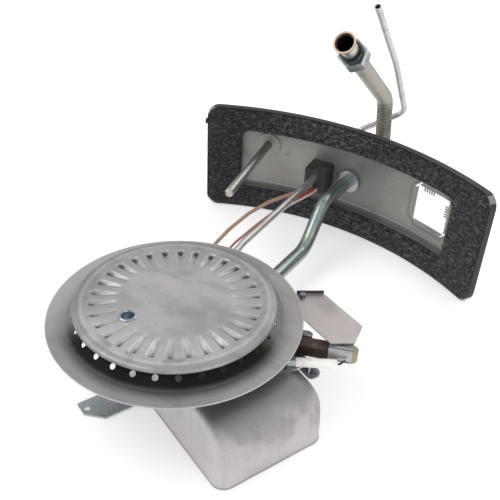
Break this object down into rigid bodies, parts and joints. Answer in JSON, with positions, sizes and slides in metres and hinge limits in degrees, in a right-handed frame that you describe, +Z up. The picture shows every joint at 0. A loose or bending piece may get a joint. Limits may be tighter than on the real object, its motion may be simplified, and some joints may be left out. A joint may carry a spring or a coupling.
{
  "type": "water heater burner assembly",
  "caption": "Round stamped gas burner on a mixing chamber with a pilot, gas line, leads and the curved chamber door that carries them.",
  "frame": {"origin": "on the burner's axis, in the plane that the mixing chamber stands on", "axes": "+Z up along the burner's axis; +Y from the burner to the middle of the curved door"},
  "size_m": [0.3006, 0.4712, 0.2305],
  "materials": {
    "burner_cap": "stamped sheet, satin",
    "cap_eyelet": "zinc plated",
    "eyelet_washer": "zinc plated",
    "burner_pan": "stamped sheet",
    "burner_flange": "stamped sheet, satin",
    "neck_sleeve": "stamped sheet",
    "mixer_hood": "deep-drawn aluminised sheet",
    "mixer_base": "aluminised sheet",
    "inlet_bell": "aluminised sheet",
    "support_foot": "blue zinc plated",
    "foot_rivets": "plated rivet",
    "gas_tube": "yellow-green zinc plated",
    "gas_orifice": "machined brass",
    "orifice_bracket": "blue zinc plated",
    "bracket_rivets": "plated rivet",
    "pilot_bracket": "blue zinc plated",
    "pilot_screws": "plated screw",
    "pilot_shield": "bright stainless sheet",
    "shield_screw": "plated screw",
    "pilot_burner": "brown heat-stained",
    "pilot_port_cap": "bright stainless sheet",
    "pilot_fitting": "machined brass",
    "igniter_insulator": "glazed white ceramic",
    "igniter_rod": "drawn wire",
    "insulator_clip": "zinc plated",
    "thermopile": "stainless sheath",
    "thermopile_nut": "machined brass",
    "pilot_tube": "drawn aluminium",
    "igniter_lead": "tan silicone",
    "thermopile_lead_red": "red insulation",
    "thermopile_lead_white": "white insulation",
    "lead_grommet": "black moulded rubber",
    "door_panel": "warm grey coated sheet",
    "door_gasket": "charcoal mineral fibre",
    "gasket_pins": "black push pin",
    "edge_screw": "black oxide",
    "gas_collar": "zinc plated",
    "gas_union": "zinc plated",
    "sensor_probe": "ground stainless rod",
    "probe_nut": "machined brass",
    "flex_elbow": "coated stainless tube",
    "flex_bellows": "coated stainless bellows",
    "flex_upper": "coated stainless tube",
    "seal_ring": "dark sleeve",
    "gas_nut": "light blue-green zinc plated"
  },
  "bodies": {
    "assembly": {"burner_cap": "burner_cap", "cap_eyelet": "cap_eyelet", "eyelet_washer": "eyelet_washer", "burner_pan": "burner_pan", "burner_flange": "burner_flange", "neck_sleeve": "neck_sleeve", "mixer_hood": "mixer_hood", "mixer_base": "mixer_base", "inlet_bell": "inlet_bell", "support_foot": "support_foot", "foot_rivets": "foot_rivets", "gas_tube": "gas_tube", "gas_orifice": "gas_orifice", "orifice_bracket": "orifice_bracket", "bracket_rivets": "bracket_rivets", "pilot_bracket": "pilot_bracket", "pilot_screws": "pilot_screws", "pilot_shield": "pilot_shield", "shield_screw": "shield_screw", "pilot_burner": "pilot_burner", "pilot_port_cap": "pilot_port_cap", "pilot_fitting": "pilot_fitting", "igniter_insulator": "igniter_insulator", "igniter_rod": "igniter_rod", "insulator_clip": "insulator_clip", "thermopile": "thermopile", "thermopile_nut": "thermopile_nut", "pilot_tube": "pilot_tube", "igniter_lead": "igniter_lead", "thermopile_lead_red": "thermopile_lead_red", "thermopile_lead_white": "thermopile_lead_white", "lead_grommet": "lead_grommet", "door_panel": "door_panel", "door_gasket": "door_gasket", "gasket_pins": "gasket_pins", "edge_screw": "edge_screw", "gas_collar": "gas_collar", "gas_union": "gas_union", "sensor_probe": "sensor_probe", "probe_nut": "probe_nut", "flex_elbow": "flex_elbow", "flex_bellows": "flex_bellows"},
    "flex_end": {"flex_upper": "flex_upper"},
    "nut_sleeve": {"seal_ring": "seal_ring"},
    "nut": {"gas_nut": "gas_nut"}
  },
  "joints": [
    {"name": "flex_bend", "type": "hinge", "parent": "assembly", "child": "flex_end", "pos_m": [-0.0055, 0.35083, 0.09203], "axis": [1, 0, 0], "range_deg": [-6, 20], "deforming": ["flex_bellows"]},
    {"name": "nut_slide", "type": "slide", "parent": "flex_end", "child": "nut_sleeve", "axis": [0, 0.7804, -0.6252], "range_m": [0, 0.03]},
    {"name": "nut_spin", "type": "hinge", "parent": "nut_sleeve", "child": "nut", "pos_m": [-0.0055, 0.2586, 0.19084], "axis": [0, -0.7804, 0.6252], "continuous": true}
  ]
}
